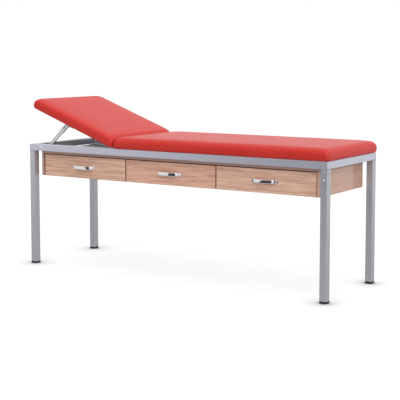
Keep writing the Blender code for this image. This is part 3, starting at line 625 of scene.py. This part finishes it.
def padRing(near, far, half, radius, cells, cornerCells):
    # one loop round the pad: arcs at the corners, even steps between
    along, across = cells
    corners = ((near, -half, 180), (far, -half, 270), (far, half, 0), (near, half, 90))
    counts = (along, across, along, across)
    points = []

    def arcMiddle(x, y):
        return Vector((x + math.copysign(radius, near + far - 2 * x), y - math.copysign(radius, y)))

    for k, (x, y, start) in enumerate(corners):
        nextX, nextY, nextStart = corners[(k + 1) % 4]
        middle = arcMiddle(x, y)
        nextMiddle = arcMiddle(nextX, nextY)
        first = math.radians(start + 90)
        out = Vector((math.cos(first), math.sin(first))) * radius
        for i in range(cornerCells):
            a = math.radians(start + 45 + 45 * i / cornerCells)
            points.append(middle + Vector((math.cos(a), math.sin(a))) * radius)
        straight = counts[k] - 2 * cornerCells
        for i in range(straight + 1):
            points.append((middle + out).lerp(nextMiddle + out, i / straight))
        for i in range(1, cornerCells):
            a = math.radians(nextStart + 45 * i / cornerCells)
            points.append(nextMiddle + Vector((math.cos(a), math.sin(a))) * radius)
    return points


def addCap(shape, loop, cells, crown):
    # a grid of quads inside a loop
    along, across = cells
    low = loop[: along + 1]
    right = loop[along : along + across + 1]
    high = loop[along + across : 2 * along + across + 1][::-1]
    left = (loop[2 * along + across :] + loop[:1])[::-1]
    grid = [low]
    for j in range(1, across):
        v = j / across
        row = [left[j]]
        for i in range(1, along):
            u = i / along
            spot = low[i].co.lerp(high[i].co, v) + left[j].co.lerp(right[j].co, u)
            spot -= low[0].co.lerp(low[-1].co, u).lerp(high[0].co.lerp(high[-1].co, u), v)
            spot.z += crown * (1 - (2 * u - 1) ** 4) * (1 - (2 * v - 1) ** 4)
            row.append(shape.verts.new(spot))
        grid.append(row + [right[j]])
    grid.append(high)
    for lower, upper in zip(grid, grid[1:]):
        for i in range(along):
            shape.faces.new((lower[i], lower[i + 1], upper[i + 1], upper[i]))


def padLevels(spec, thickness):
    # height and inset of each loop from the tuck to the top
    shoulder = thickness - spec["crown"] - spec["edge"]
    levels = []
    for i in range(spec["drawSteps"]):
        a = math.pi / 2 * i / spec["drawSteps"]
        levels.append((spec["drawHeight"] * (1 - math.cos(a)), spec["draw"] * (1 - math.sin(a))))
    for i in range(spec["edgeSteps"] + 1):
        a = math.pi / 2 * i / spec["edgeSteps"]
        levels.append((shoulder + spec["edge"] * math.sin(a), spec["edge"] * (1 - math.cos(a))))
    return levels


def localPoints(name, matrix):
    return [matrix.inverted() @ vert.co for vert in nodes[name].data.vertices]


def makePad(name, body, matrix, lift, spec):
    # matrix takes the pad's own lines (x from the hinge end, z up from its board) to the frame
    points = localPoints(f"{name}_cushion", matrix)
    far = max(point.x for point in points)
    half = max(point.y for point in points)
    thickness = max(point.z for point in points)
    start = min(point.x for point in points if point.z < spec["boardLevel"]) - spec["draw"]
    lean = math.tan(spec["leanShare"] * lift)
    cells = (round(far / spec["cell"]), round(2 * half / spec["cell"]))
    shape = bmesh.new()

    def loopAt(height, inset, radius, near):
        ring = padRing(near, far - inset, half - inset, radius, cells, spec["cornerCells"])
        return [shape.verts.new((point.x, point.y, height)) for point in ring]

    tuck = start + spec["endWrap"]
    loops = [loopAt(height, spec["wrap"], spec["tuckCorner"], tuck) for height in (spec["pocket"], 0.0)]
    for height, inset in padLevels(spec, thickness):
        near = start + lean * height + inset + spec["swell"]
        radius = spec["corner"] + spec["cornerGrowth"] * inset
        loops.append(loopAt(height, inset + spec["swell"], radius, near))
    for lower, upper in zip(loops, loops[1:]):
        for i in range(len(lower)):
            j = (i + 1) % len(lower)
            shape.faces.new((lower[i], lower[j], upper[j], upper[i]))
    heldCount = spec["heldLoops"] * len(loops[0])
    addCap(shape, loops[-1], cells, spec["crown"] - spec["swell"])
    topCount = len(shape.verts)
    addCap(shape, loops[0], cells, 0.0)
    bmesh.ops.recalc_face_normals(shape, faces=shape.faces[:])
    mesh = bpy.data.meshes.new(f"{name}Pad")
    shape.to_mesh(mesh)
    held = list(range(heldCount)) + list(range(topCount, len(shape.verts)))
    shape.free()
    pad = bpy.data.objects.new(f"{name}_pad", mesh)
    bpy.context.scene.collection.objects.link(pad)
    swellPad(pad, held, spec)
    mesh.transform(matrix)
    mesh.shade_smooth()
    mesh.materials.append(vinyl.material)
    finer = pad.modifiers.new("finer", "SUBSURF")
    finer.levels = 1
    finer.render_levels = 1
    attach(pad, body)
    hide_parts(f"{name}_cushion")


def swellPad(pad, held, spec):
    # the foam presses the cover out until it is taut
    rest = [vert.co.copy() for vert in pad.data.vertices]
    group = pad.vertex_groups.new(name="held")
    group.add(held, 1.0, "REPLACE")
    cloth = pad.modifiers.new("swell", "CLOTH")
    cloth.settings.vertex_group_mass = "held"
    cloth.settings.use_pressure = True
    cloth.settings.uniform_pressure_force = spec["pressure"]
    cloth.settings.effector_weights.gravity = 0.0
    cloth.settings.tension_stiffness = spec["stretchStiffness"]
    cloth.settings.compression_stiffness = spec["stretchStiffness"]
    cloth.settings.bending_stiffness = spec["bendStiffness"]
    cloth.settings.quality = spec["quality"]
    cloth.collision_settings.use_collision = False
    cloth.point_cache.frame_start = 1
    cloth.point_cache.frame_end = spec["frames"]
    scene = bpy.context.scene
    for step in range(1, spec["frames"] + 1):
        scene.frame_set(step)
    swollen = pad.evaluated_get(bpy.context.evaluated_depsgraph_get())
    moved = [vert.co.copy() for vert in swollen.data.vertices]
    pad.modifiers.remove(cloth)
    scene.frame_set(1)
    most = 0.0
    for vert, start, end in zip(pad.data.vertices, rest, moved):
        step = end - start
        most = max(most, step.length)
        if step.length > spec["moveCap"]:
            step = step.normalized() * spec["moveCap"]
        vert.co = start + step
    print(pad.name, "swelled by at most", round(most * 1000, 2), "mm")


hinge = joints["backrest_tilt"]
hingeSpot = Vector(hinge["pos_m"])
print("hinge at", [round(part, 4) for part in hingeSpot])

lift = math.radians(hinge["range_deg"][1] - hinge["range_deg"][0])
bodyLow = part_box("body_cushion")[0]
bodyPlace = Matrix.Translation((hingeSpot.x, 0, bodyLow.z))
makePad("body", "frame", bodyPlace, lift, padShape)

turned = Matrix.Translation(hingeSpot) @ Matrix.Rotation(lift, 4, "Y")
flip = Matrix(((-1, 0, 0, 0), (0, -1, 0, 0), (0, 0, 1, 0), (0, 0, 0, 1)))
backPlace = turned @ Matrix.Translation((0, 0, bodyLow.z - hingeSpot.z)) @ flip
makePad("backrest", "backrest", backPlace, lift, padShape)
print("pads upholstered")

# floor, light and camera
studio = {
    "ambient": 0.5,
    "darkSide": (-0.208, -0.978, 0),  # the room is unlit at one end in front of the drawers
    "darkFrom": 0.951,
    "darkFull": 0.964,
    "darkDrop": 0.92,
    "darkHeight": (0.6, 0.3),  # the unlit end fades out above
    "lamps": {  # strength, aim and spread
        "key": (1.1, (-0.45, 0.72, -0.50), 40),
        "top": (1.1, (0.0, 0.05, -1.0), 60),
        "fill": (0.7, (-0.95, -0.06, -0.30), 50),
    },
    "floorSeen": (0.75, 0.75, 0.75, 1),
    "floorShadow": (0.3, 0.3, 0.3, 1),
    "floorContactShadow": (0.05, 0.05, 0.05, 1),  # painted contact shadow, close round the feet
    "contactReach": 0.16,
    "contactFrom": 0.55,
    "contactSpan": 0.43,
    "floorNear": (0.56, 0.56, 0.56, 1),  # in reflections
    "floorFar": (0.92, 0.92, 0.92, 1),
    "floorFade": (1.0, 6.0),  # metres from near to far
    "darkFade": (1.8, 3.6),
    "floorBounce": (0.55, 0.55, 0.55, 1),
    "floorSize": 60,
    "floorDrop": 0.0005,
}


def rayShare(finish, *kinds):
    shares = [finish.node("ShaderNodeLightPath", out=f"Is {kind} Ray") for kind in kinds]
    while len(shares) > 1:
        shares.append(shares.pop().most(shares.pop()))
    return shares[0]


def darkShare(finish, heading, spec):
    # rises to darkDrop where the heading runs toward the unlit end of the room
    level = finish.node("ShaderNodeVectorMath", {"operation": "MULTIPLY"}, {0: heading, 1: (1, 1, 0)})
    way = finish.node("ShaderNodeVectorMath", {"operation": "NORMALIZE"}, {0: level})
    sockets = {0: way, 1: spec["darkSide"]}
    facing = finish.node("ShaderNodeVectorMath", {"operation": "DOT_PRODUCT"}, sockets, "Value")
    return spec["darkDrop"] * finish.band(facing, spec["darkFrom"], spec["darkFull"])


def makeWorld(spec):
    world = bpy.data.worlds.new("studio")
    bpy.context.scene.world = world
    world.use_nodes = True
    finish = Finish(world.node_tree)
    background = world.node_tree.nodes["Background"]
    background.inputs["Color"].default_value = (1, 1, 1, 1)
    seen = rayShare(finish, "Camera", "Transmission")
    mirrored = rayShare(finish, "Glossy")
    heading = finish.node("ShaderNodeTexCoord", out="Generated")
    rise = finish.node("ShaderNodeSeparateXYZ", None, {0: heading}, 2)
    room = 1 - darkShare(finish, heading, spec) * finish.band(rise, *spec["darkHeight"])
    level = spec["ambient"] + (1 - spec["ambient"]) * seen + (room - spec["ambient"]) * mirrored
    finish.feed(background.inputs["Strength"], level)


def makeFloor(spec):
    half = spec["floorSize"] / 2
    mesh = bpy.data.meshes.new("floor")
    corners = [(-half, -half, 0), (half, -half, 0), (half, half, 0), (-half, half, 0)]
    mesh.from_pydata(corners, [], [(0, 1, 2, 3)])
    floor = bpy.data.objects.new("floor", mesh)
    floor.location.z = -spec["floorDrop"]
    bpy.context.scene.collection.objects.link(floor)
    finish = makeFinish("paleFloor")
    spot = finish.node("ShaderNodeNewGeometry", out="Position")
    reach = finish.node("ShaderNodeVectorMath", {"operation": "LENGTH"}, {0: spot}, "Value")
    pale = finish.mix(finish.band(reach, *spec["floorFade"]), spec["floorNear"], spec["floorFar"])
    unlit = darkShare(finish, spot, spec) * finish.band(reach, *spec["darkFade"])
    pale = finish.mix(unlit, pale, (0, 0, 0, 1))
    mirrored = finish.node("ShaderNodeEmission", None, {"Color": pale})
    sockets = {"Distance": spec["contactReach"]}
    unoccluded = finish.node("ShaderNodeAmbientOcclusion", {"samples": 16}, sockets, "AO")
    clearness = (unoccluded - spec["contactFrom"]) / spec["contactSpan"]
    clear = finish.mix(clearness, spec["floorContactShadow"], spec["floorSeen"])
    glow = finish.node("ShaderNodeEmission", None, {"Color": clear})
    shadowed = finish.node("ShaderNodeBsdfDiffuse", None, {"Color": spec["floorShadow"]})
    bounce = finish.node("ShaderNodeBsdfDiffuse", None, {"Color": spec["floorBounce"]})
    lit = finish.node("ShaderNodeAddShader", None, {0: shadowed, 1: glow})
    seen = rayShare(finish, "Camera", "Transmission")
    shader = finish.node("ShaderNodeMixShader", None, {0: seen, 1: bounce, 2: lit})
    glossy = rayShare(finish, "Glossy")
    shader = finish.node("ShaderNodeMixShader", None, {0: glossy, 1: shader, 2: mirrored})
    finish.feed(finish.tree.nodes["Material Output"].inputs["Surface"], shader)
    mesh.materials.append(finish.material)


def makeSun(name, strength, aim, angle):
    lamp = bpy.data.lights.new(name, "SUN")
    lamp.energy = strength
    lamp.angle = math.radians(angle)
    sun = bpy.data.objects.new(name, lamp)
    sun.rotation_mode = "QUATERNION"
    sun.rotation_quaternion = Vector(aim).to_track_quat("-Z", "Y")
    bpy.context.scene.collection.objects.link(sun)


makeWorld(studio)
makeFloor(studio)
for name, (strength, aim, angle) in studio["lamps"].items():
    makeSun(name, strength, aim, angle)

view = {
    "spot": (3.32117, -5.08285, 1.27601),
    "turn": 32.878,
    "dip": 5.229,
    "focalPixels": 1049.735,
    "imagePixels": 400,
    "axisAbove": 50,  # pixels from the middle of the image up to the lens axis
    "sensor": 36.0,
}


def makeCamera(spec):
    lens = bpy.data.cameras.new("camera")
    lens.sensor_width = spec["sensor"]
    lens.lens = spec["sensor"] * spec["focalPixels"] / spec["imagePixels"]
    lens.shift_y = -spec["axisAbove"] / spec["imagePixels"]
    camera = bpy.data.objects.new("camera", lens)
    camera.location = spec["spot"]
    camera.rotation_euler = (math.radians(90 - spec["dip"]), 0, math.radians(spec["turn"]))
    bpy.context.scene.collection.objects.link(camera)
    bpy.context.scene.camera = camera


makeCamera(view)
bpy.context.scene.view_settings.view_transform = "Standard"
print("studio set")

bpy.context.view_layer.update()
